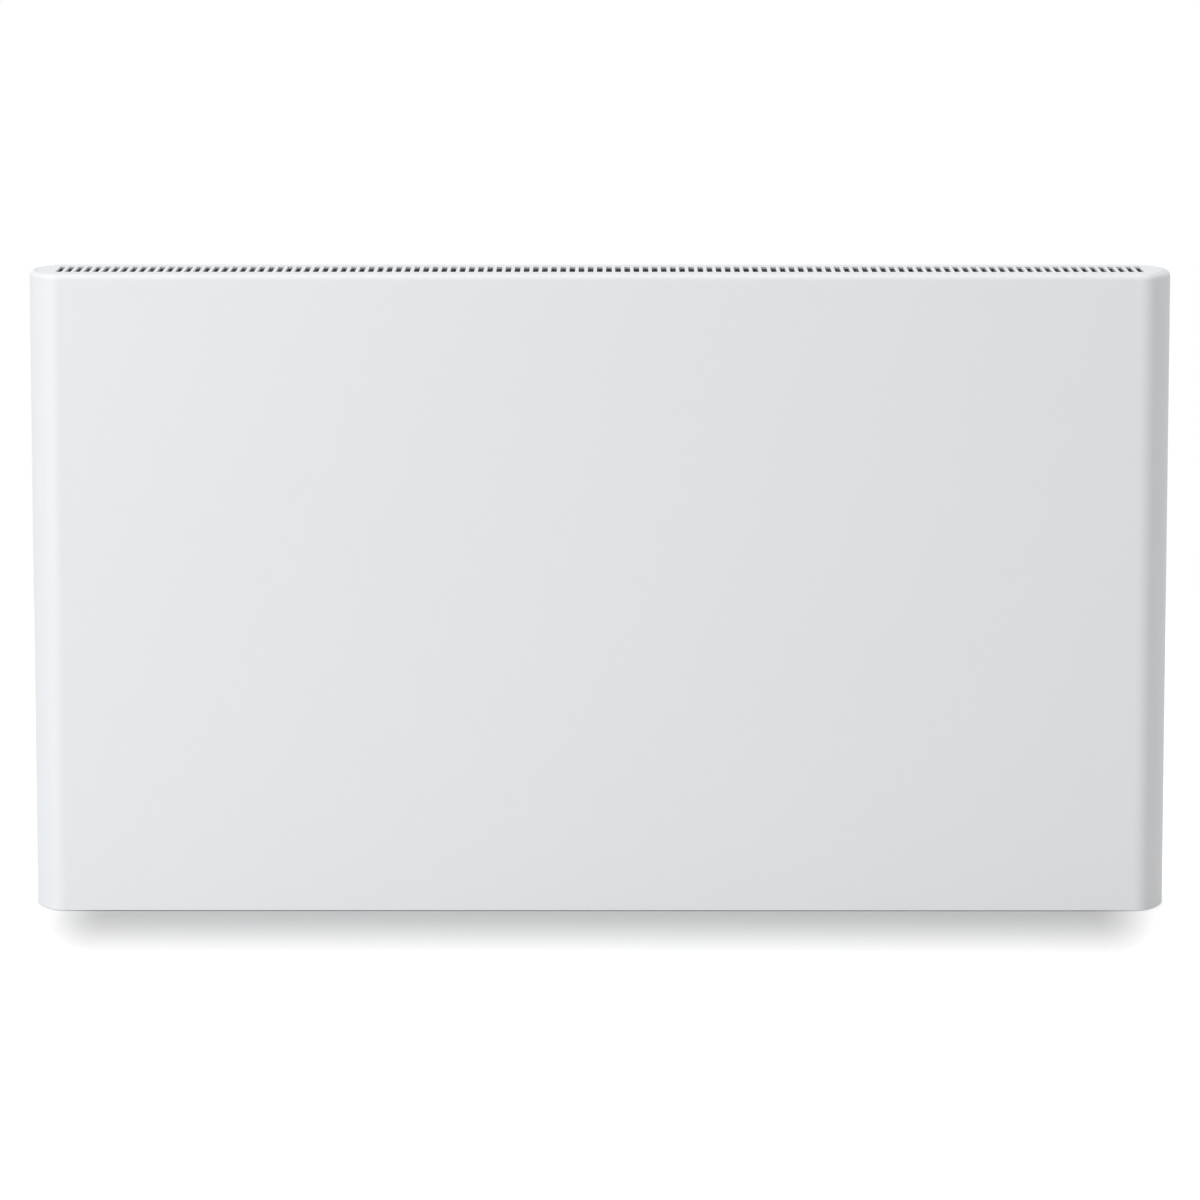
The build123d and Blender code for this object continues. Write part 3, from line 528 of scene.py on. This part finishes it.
def printed_ink(name, colour):
    """Pad-printed ink: a little uneven, and matt."""
    finish = Finish(name, colour, 0.5)
    cover = finish.noise(0.0004, detail=3.0)
    finish.vary(cover, -0.12, 0.2)
    finish.set(roughness=0.45 + 0.15 * cover)
    finish.relief(cover, 0.000008)
    return finish.material


finish_makers = {
    "white_coated_steel": powder_coat,
    "galvanised_steel": galvanised_sheet,
    "zinc_steel": zinc_plate,
    "spring_steel": spring_steel,
    "zinc_screw": bright_zinc,
    "aluminised_steel": aluminised_sheet,
    "aluminium": mill_aluminium,
    "stainless_tube": drawn_stainless,
    "ceramic": glazed_ceramic,
    "silicone": silicone_rubber,
    "black_rubber": black_rubber,
    "black_plastic": black_nylon,
    "white_plastic": white_moulding,
    "grey_plastic": dial_moulding,
    "rocker_plastic": rocker_gloss,
    "amber_lens": amber_glaze,
    "clear_hood": milky_nylon,
    "board_green": circuit_laminate,
    "relay_blue": relay_case,
    "brass": turned_brass,
    "wire_brown": brown_insulation,
    "wire_blue": blue_insulation,
    "wire_green_yellow": striped_insulation,
    "wire_white": glass_sleeve,
}
finishes_made = {}


def finish_for(slot):
    """The finish of a material slot, made the first time that a piece needs it."""
    if slot not in finishes_made:
        finishes_made[slot] = finish_makers[slot]()
    return finishes_made[slot]


def dress(*names):
    """Gives CAD nodes the finish of the slot that the record names for them."""
    slots = {part["node"]: part["material_slot"] for part in frame["record"]["subparts"]}
    for name in names:
        for material_slot in nodes[name].material_slots:
            material_slot.material = finish_for(slots[name])


# ---------------------------------------------------------------- pieces


def add_piece(name, shape, body, slot, material=None):
    """Turns a bmesh into a piece that rides on a body."""
    mesh = bpy.data.meshes.new(name)
    shape.to_mesh(mesh)
    shape.free()
    piece = bpy.data.objects.new(name, mesh)
    bpy.context.scene.collection.objects.link(piece)
    mesh.materials.append(material or finish_for(slot))
    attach(piece, body)


def seat_matrix(centre, right, up):
    """A frame at a centre whose X, Y and Z are right, up and out of the surface."""
    out = right.cross(up)
    turn = Matrix((right, up, out)).transposed().to_4x4()
    return Matrix.Translation(centre) @ turn


def on_face(across, up, out=0.0):
    """A place on the control face, measured from the dial's centre."""
    return dial_centre + face_right * across + face_up * up + face_out * out


def add_bar(shape, width, height, thickness, place):
    """A flat bar with slightly eased edges, in the middle of a frame's XY plane."""
    matrix = place @ Matrix.Diagonal((width, height, thickness, 1))
    made = bmesh.ops.create_cube(shape, size=1.0, matrix=matrix)
    edges = {edge for vert in made["verts"] for edge in vert.link_edges}
    ease = min(width, height, thickness) * 0.2
    bmesh.ops.bevel(shape, geom=list(edges), offset=ease, segments=2, affect="EDGES", profile=0.5)


def add_letters(shape, text, height, thickness, place):
    """Letters centred on a frame, as a thin raised print."""
    curve = bpy.data.curves.new("letters", "FONT")
    curve.body = text
    curve.align_x = "CENTER"
    curve.align_y = "CENTER"
    curve.size = height / 0.7
    curve.extrude = thickness / 2
    curve.resolution_u = 6
    holder = bpy.data.objects.new("letters", curve)
    bpy.context.scene.collection.objects.link(holder)
    bpy.context.view_layer.update()
    mesh = bpy.data.meshes.new_from_object(holder)
    mesh.transform(place)
    shape.from_mesh(mesh)
    bpy.data.objects.remove(holder)
    bpy.data.curves.remove(curve)
    bpy.data.meshes.remove(mesh)


def dial_scale():
    """Ticks and the numbers 1 to 6 round the dial, over its real turn."""
    sizes = finish_sizes()
    low, high = (math.radians(limit) for limit in dial_joint["range_deg"])
    rest = math.radians(sizes.dial_rest_angle)
    gaps = (sizes.dial_numbers - 1) * 2
    ticks = bmesh.new()
    numbers = bmesh.new()
    for step in range(gaps + 1):
        angle = rest + (low - high) * step / gaps
        radial = Vector((-math.sin(angle), math.cos(angle)))
        turn = Matrix.Rotation(angle, 4, "Z")
        length = sizes.tick_length * (1.0 if step % 2 == 0 else 0.6)
        middle = radial * (sizes.tick_radius + length / 2)
        place = seat_matrix(on_face(middle.x, middle.y), face_right, face_up) @ turn
        add_bar(ticks, sizes.tick_width, length, sizes.ink_thickness, place)
        if step % 2 == 0:
            middle = radial * sizes.number_radius
            place = seat_matrix(on_face(middle.x, middle.y), face_right, face_up)
            add_letters(numbers, str(step // 2 + 1), sizes.number_height, sizes.ink_thickness, place)
    ink = printed_ink("scale_ink", (0.16, 0.17, 0.18))
    add_piece("dial_scale_ticks", ticks, "heater", "grey_plastic", ink)
    add_piece("dial_scale_numbers", numbers, "heater", "grey_plastic", ink)


def dial_pointer():
    """White paint in the dial's pointer groove."""
    angle = math.radians(finish_sizes().dial_rest_angle)
    vertices = nodes["thermostat_dial"].data.vertices
    top = max((vertex.co - dial_centre).dot(face_out) for vertex in vertices)
    middle = Vector((-math.sin(angle), math.cos(angle))) * pointer_radius
    place = seat_matrix(on_face(middle.x, middle.y, top - pointer_depth), face_right, face_up)
    turned = place @ Matrix.Rotation(angle, 4, "Z")
    shape = bmesh.new()
    add_bar(shape, pointer_width, pointer_length, pointer_thickness, turned)
    ink = printed_ink("pointer_paint", white_ink)
    add_piece("dial_pointer_paint", shape, "dial", "white_plastic", ink)


def rocker_marks():
    """O and I on the rocker. It rests with its upper half, O, pressed in."""
    sizes = finish_sizes()
    marks = bmesh.new()
    for text, side in (("O", 1), ("I", -1)):
        half = [
            face
            for face in nodes["power_rocker"].data.polygons
            if face.normal.dot(face_out) > 0.9 and (face.center.z - rocker_pivot.z) * side > 0
        ]
        area = sum(face.area for face in half)
        centre = sum((face.center * face.area for face in half), Vector()) / area
        up = half[0].normal.cross(face_right)
        place = seat_matrix(centre, face_right, up)
        add_letters(marks, text, sizes.rocker_mark_height, sizes.ink_thickness, place)
    ink = printed_ink("rocker_ink", white_ink)
    add_piece("rocker_marks", marks, "rocker", "white_plastic", ink)


def weld_spot(shape, place, radius):
    """A spot weld's print: a shallow dish with a raised rim, sunk a little into its sheet."""
    # Each ring's share of the radius, and its height in millimetres
    profile = [(1.0, -0.03), (0.86, 0.1), (0.7, 0.09), (0.5, 0.03), (0.2, 0.015)]
    count = 24
    loops = []
    for share, height in profile:
        loop = []
        for i in range(count):
            angle = 2 * math.pi * i / count
            across = math.cos(angle) * radius * share
            up = math.sin(angle) * radius * share
            loop.append(shape.verts.new(place @ Vector((across, up, height * mm))))
        loops.append(loop)
    for outer, inner in zip(loops, loops[1:]):
        for i in range(count):
            shape.faces.new((outer[i], outer[(i + 1) % count], inner[(i + 1) % count], inner[i]))
    shape.faces.new(loops[-1])
    shape.faces.new(reversed(loops[0]))


def strip_welds():
    """Spot welds down the back panels' edges, where the hook strips behind them are joined."""
    sizes = finish_sizes()
    centre_low, centre_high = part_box("back_panel_centre")
    left_seam = (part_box("back_panel_left")[1].x - seam_inset, centre_low.x + seam_inset)
    right_seam = (centre_high.x - seam_inset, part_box("back_panel_right")[0].x + seam_inset)
    rear_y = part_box("hook_strip_left")[1].y + panel_sheet
    spots = bmesh.new()
    for x in left_seam + right_seam:
        for step in range(seam_welds):
            centre = Vector((x, rear_y, (step - seam_welds // 2) * sizes.weld_pitch))
            weld_spot(spots, seat_matrix(centre, Vector((-1, 0, 0)), face_up), sizes.weld_radius)
    add_piece("strip_welds", spots, "heater", "galvanised_steel")


def bar_welds():
    """Spot welds on the cross bar's end tabs, where it is joined to the rails' feet."""
    sizes = finish_sizes()
    low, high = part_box("bracket_cross_bar")
    tab_y = -2 * bracket_sheet  # a tab lies on a foot, and the foot on the wall
    spots = bmesh.new()
    for x in (low.x + tab_inset, high.x - tab_inset):
        for z in (-tab_weld_z, tab_weld_z):
            place = seat_matrix(Vector((x, tab_y, z)), Vector((1, 0, 0)), face_up)
            weld_spot(spots, place, sizes.weld_radius)
    add_piece("bar_welds", spots, "wall_mount", "zinc_steel")


# ---------------------------------------------------------------- settings


class HeaterColours(PropertyGroup):
    coat: FloatVectorProperty(
        name="Casing coat",
        description="Colour of the powder coat on the casing, top grille and bottom guard",
        subtype="COLOR",
        size=3,
        default=record_colour("white_coated_steel"),
    )
    galvanised: FloatVectorProperty(
        name="Galvanised sheet",
        description="Colour of the back panels and the duct's end plates",
        subtype="COLOR",
        size=3,
        default=record_colour("galvanised_steel"),
    )
    moulding: FloatVectorProperty(
        name="White mouldings",
        description="Colour of the control housing and its lid",
        subtype="COLOR",
        size=3,
        default=record_colour("white_plastic"),
    )
    dial: FloatVectorProperty(
        name="Dial",
        description="Colour of the thermostat dial",
        subtype="COLOR",
        size=3,
        default=record_colour("grey_plastic"),
    )
    amber: FloatVectorProperty(
        name="Indicator",
        description="Colour of the indicator lens",
        subtype="COLOR",
        size=3,
        default=record_colour("amber_lens"),
    )


def length_property(name, description, default):
    """A length in metres that a user may change."""
    return FloatProperty(
        name=name,
        description=description,
        default=default,
        min=0.0,
        unit="LENGTH",
        precision=6,
    )


class HeaterSizes(PropertyGroup):
    orange_peel: length_property("Orange peel", "Width of the waves in the powder coat", 0.0014)
    peel_depth: length_property("Peel depth", "Depth of the waves in the powder coat", 0.000012)
    spangle: length_property("Spangle", "Width of the zinc crystals on the galvanised sheet", 0.009)
    tick_radius: length_property("Tick radius", "From the dial's centre to the scale's ticks", 0.0154)
    tick_length: length_property("Tick length", "Length of the scale's long ticks", 0.0013)
    tick_width: length_property("Tick width", "Width of the scale's ticks", 0.00035)
    number_radius: length_property("Number radius", "From the dial's centre to the scale's numbers", 0.0181)
    number_height: length_property("Number height", "Height of the scale's numbers", 0.0019)
    rocker_mark_height: length_property("Rocker marks", "Height of the marks on the rocker", 0.0032)
    ink_thickness: length_property("Ink thickness", "Thickness of the printed marks", 0.00006)
    weld_radius: length_property("Weld radius", "Radius of a spot weld's print", 0.0026)
    weld_pitch: length_property("Weld pitch", "From one spot weld to the next down a seam", 0.04)
    dial_numbers: IntProperty(
        name="Dial numbers",
        description="How many numbers the dial's scale has",
        default=6,
        min=2,
        max=9,
    )
    dial_rest_angle: FloatProperty(
        name="Low end of the scale",
        description="Degrees to the left from straight up to the scale's low end",
        default=135.0,
    )


class HeaterStage(PropertyGroup):
    camera_place: FloatVectorProperty(
        name="Camera",
        description="Where the camera stands",
        subtype="TRANSLATION",
        size=3,
        default=(0.0077, -4.3085, 0.6069),
    )
    camera_pitch: FloatProperty(
        name="Camera pitch",
        description="How far the camera looks down, in degrees",
        default=8.259,
    )
    camera_turn: FloatProperty(
        name="Camera turn",
        description="How far the camera looks to the left, in degrees",
        default=0.102,
    )
    lens: FloatProperty(
        name="Lens",
        description="Focal length in millimetres, on a 36 mm wide sensor",
        default=182.03,
        min=10.0,
    )
    key_power: FloatProperty(
        name="Key light",
        description="Power of the large soft light at the front left, in watts",
        default=50.6,
        min=0.0,
    )
    top_power: FloatProperty(
        name="Top light",
        description="Power of the soft light overhead, in watts",
        default=15.0,
        min=0.0,
    )
    ambient: FloatProperty(
        name="Ambient",
        description="Strength of the white surroundings as they light the object",
        default=0.635,
        min=0.0,
    )
    floor_colour: FloatVectorProperty(
        name="Floor",
        description="Colour of the paper floor",
        subtype="COLOR",
        size=3,
        default=(0.55, 0.55, 0.55),
    )
    floor_glow: FloatProperty(
        name="Floor glow",
        description="How much white the camera sees in the floor, over its lit colour",
        default=0.68,
        min=0.0,
    )
    # The painted shadow on the floor: where its white glow is masked out round the heater's foot
    painted_shadow_reach: FloatProperty(
        name="Shadow reach",
        description="How far in front of and behind the heater's foot the floor turns white",
        default=0.24,
        min=0.0,
        unit="LENGTH",
    )
    painted_shadow_half_width: FloatProperty(
        name="Shadow half width",
        description="From the middle to where the shadow starts to fade at each side",
        default=0.345,
        min=0.0,
        unit="LENGTH",
    )
    painted_shadow_side_reach: FloatProperty(
        name="Shadow side reach",
        description="How far beyond its half width the shadow fades to white",
        default=0.07,
        min=0.001,
        unit="LENGTH",
    )


# ---------------------------------------------------------------- stage


def light_path_seen(graph):
    """1 for the rays that see the studio: from the camera, a reflection or clear plastic."""
    path = graph.node("ShaderNodeLightPath", output="Is Camera Ray")
    outputs = path.socket.node.outputs
    glossy = Value(graph, outputs["Is Glossy Ray"])
    clear = Value(graph, outputs["Is Transmission Ray"])
    return path.most(glossy).most(clear)


def white_surroundings(settings):
    """A white world, dimmer where it lights the object."""
    world = bpy.data.worlds.new("white_surroundings")
    world.use_nodes = True
    bpy.context.scene.world = world
    graph = Graph(world.node_tree)
    background = world.node_tree.nodes["Background"].inputs
    background["Color"].default_value = (1.0, 1.0, 1.0, 1.0)
    seen = light_path_seen(graph)
    graph.feed(background["Strength"], settings.ambient + seen * (1.0 - settings.ambient))


def paper_floor(settings):
    """A pale paper floor with a painted shadow: at the heater's foot it shows its lit colour and real shadow, and
    away from the foot a glow that the camera and reflections see paints it white.
    """
    height = cad_box[0].z - floor_drop
    shape = bmesh.new()
    corners = [
        (-floor_half_width, floor_front_y),
        (floor_half_width, floor_front_y),
        (floor_half_width, floor_rear_y),
        (-floor_half_width, floor_rear_y),
    ]
    shape.faces.new([shape.verts.new((x, y, height)) for x, y in corners])
    mesh = bpy.data.meshes.new("studio_floor")
    shape.to_mesh(mesh)
    shape.free()
    floor = bpy.data.objects.new("studio_floor", mesh)
    bpy.context.scene.collection.objects.link(floor)
    paper = Finish("floor_paper", settings.floor_colour, 0.9, emission_strength=settings.floor_glow)
    middle = (cad_box[0].y + cad_box[1].y) / 2
    # Painted shadow: the glow is masked out in a rounded box round the foot and rises to full white beyond its
    # reach
    aside = (abs(paper.x) - settings.painted_shadow_half_width).most(0.0) / settings.painted_shadow_side_reach
    away = (abs(paper.y - middle) - painted_shadow_core).most(0.0) / settings.painted_shadow_reach
    distance = (aside * aside + away * away) ** 0.5
    white = distance.rise(0.0, 1.0) * light_path_seen(paper)
    paper.set(emission_color=paper.mix(white, (0.0, 0.0, 0.0), (1.0, 1.0, 1.0)))
    mesh.materials.append(paper.material)


def soft_light(name, place, target, size, power):
    """A large rectangular softbox."""
    lamp = bpy.data.lights.new(name, "AREA")
    lamp.shape = "RECTANGLE"
    lamp.size, lamp.size_y = size
    lamp.energy = power
    light = bpy.data.objects.new(name, lamp)
    light.location = place
    light.rotation_euler = (Vector(target) - Vector(place)).to_track_quat("-Z", "Y").to_euler()
    bpy.context.scene.collection.objects.link(light)


def photo_camera(settings):
    """The camera, where the photograph's viewpoint was."""
    data = bpy.data.cameras.new("photo_camera")
    data.lens = settings.lens
    data.sensor_width = 36.0
    data.clip_end = 200.0
    camera = bpy.data.objects.new("photo_camera", data)
    camera.location = settings.camera_place
    pitch = math.radians(90 - settings.camera_pitch)
    camera.rotation_euler = (pitch, 0, math.radians(settings.camera_turn))
    bpy.context.scene.collection.objects.link(camera)
    bpy.context.scene.camera = camera


# ---------------------------------------------------------------- operators


class HEATER_OT_coated_casing(Operator):
    """Powder-coat the casing, the top grille and the bottom guard"""

    bl_idname = "heater.coated_casing"
    bl_label = "Coated Casing"

    def execute(self, context):
        dress("front_casing", "top_grille", "bottom_guard")
        return {"FINISHED"}


class HEATER_OT_sheet_metal(Operator):
    """Finish the back panels, hook strips, duct plates, brackets and clips"""

    bl_idname = "heater.sheet_metal"
    bl_label = "Sheet Metal"

    def execute(self, context):
        dress("back_panel_left", "back_panel_centre", "back_panel_right")
        dress("end_plate_left", "end_plate_right")
        dress("element_bracket_left", "element_bracket_right", "sensor_clip")
        dress("hook_strip_left", "hook_strip_right")
        dress("front_heat_shield", "rear_heat_shield")
        dress("grille_clips", "cutout_clip", "casing_screws", "housing_cover_screws")
        strip_welds()
        return {"FINISHED"}


class HEATER_OT_wall_bracket(Operator):
    """Finish the wall bracket's rails, cross bar and rubber pads"""

    bl_idname = "heater.wall_bracket"
    bl_label = "Wall Bracket"

    def execute(self, context):
        dress("bracket_rail_left", "bracket_rail_right", "bracket_cross_bar", "bracket_pads")
        bar_welds()
        return {"FINISHED"}


class HEATER_OT_element(Operator):
    """Finish the heating element and its limiter"""

    bl_idname = "heater.element"
    bl_label = "Heating Element"

    def execute(self, context):
        dress("element_fins", "element_sheath", "element_core", "element_insulators", "element_terminals")
        dress("element_bushes", "thermal_cutout")
        return {"FINISHED"}


class HEATER_OT_controls(Operator):
    """Finish the control housing, dial, rocker and lens, and print the dial's scale"""

    bl_idname = "heater.controls"
    bl_label = "Controls"

    def execute(self, context):
        dress("control_housing", "housing_cover", "thermostat_dial", "dial_shaft", "thermostat_body")
        dress("rocker_switch", "power_rocker", "indicator_lens", "indicator_lamp")
        dial_scale()
        dial_pointer()
        rocker_marks()
        return {"FINISHED"}


class HEATER_OT_wiring(Operator):
    """Finish the circuit board, the terminals, the wires and the cable gland"""

    bl_idname = "heater.wiring"
    bl_label = "Board and Wiring"

    def execute(self, context):
        dress("circuit_board", "relay", "capacitor", "heat_sink", "terminal_block", "terminal_screws")
        dress("terminal_cover", "cable_gland", "gland_nut", "earth_stud", "earth_nut", "wire_grommets")
        dress("live_wire", "neutral_wire", "earth_wire", "element_wire_left", "element_wire_right")
        dress("sensor_wire", "sensor_probe")
        return {"FINISHED"}


class HEATER_OT_stage(Operator):
    """Set up the pale floor, the white surroundings, the soft lights and the camera"""

    bl_idname = "heater.stage"
    bl_label = "Stage"

    def execute(self, context):
        settings = context.scene.heater_stage
        context.scene.view_settings.view_transform = "Standard"
        white_surroundings(settings)
        paper_floor(settings)
        soft_light("key_softbox", key_place, key_target, key_size, settings.key_power)
        soft_light("top_softbox", top_place, top_target, top_size, settings.top_power)
        photo_camera(settings)
        return {"FINISHED"}


class HEATER_PT_panel(Panel):
    """Lists the heater's pieces and settings"""

    bl_idname = "HEATER_PT_panel"
    bl_label = "Panel Heater"
    bl_space_type = "VIEW_3D"
    bl_region_type = "UI"
    bl_category = "Heater"

    def draw(self, context):
        for operator in operators:
            self.layout.operator(operator.bl_idname)
        for group in (context.scene.heater_colours, context.scene.heater_sizes, context.scene.heater_stage):
            box = self.layout.box()
            for name in type(group).__annotations__:
                box.prop(group, name)


operators = (
    HEATER_OT_coated_casing,
    HEATER_OT_sheet_metal,
    HEATER_OT_wall_bracket,
    HEATER_OT_element,
    HEATER_OT_controls,
    HEATER_OT_wiring,
    HEATER_OT_stage,
)
classes = (HeaterColours, HeaterSizes, HeaterStage, *operators, HEATER_PT_panel)


def register():
    for each in classes:
        bpy.utils.register_class(each)
    bpy.types.Scene.heater_colours = PointerProperty(type=HeaterColours)
    bpy.types.Scene.heater_sizes = PointerProperty(type=HeaterSizes)
    bpy.types.Scene.heater_stage = PointerProperty(type=HeaterStage)


def unregister():
    del bpy.types.Scene.heater_stage
    del bpy.types.Scene.heater_sizes
    del bpy.types.Scene.heater_colours
    for each in reversed(classes):
        bpy.utils.unregister_class(each)


def main():
    register()
    bpy.ops.heater.coated_casing()
    bpy.ops.heater.sheet_metal()
    bpy.ops.heater.wall_bracket()
    bpy.ops.heater.element()
    bpy.ops.heater.controls()
    bpy.ops.heater.wiring()
    bpy.ops.heater.stage()
    bpy.context.view_layer.update()


if __name__ == "__main__":
    main()
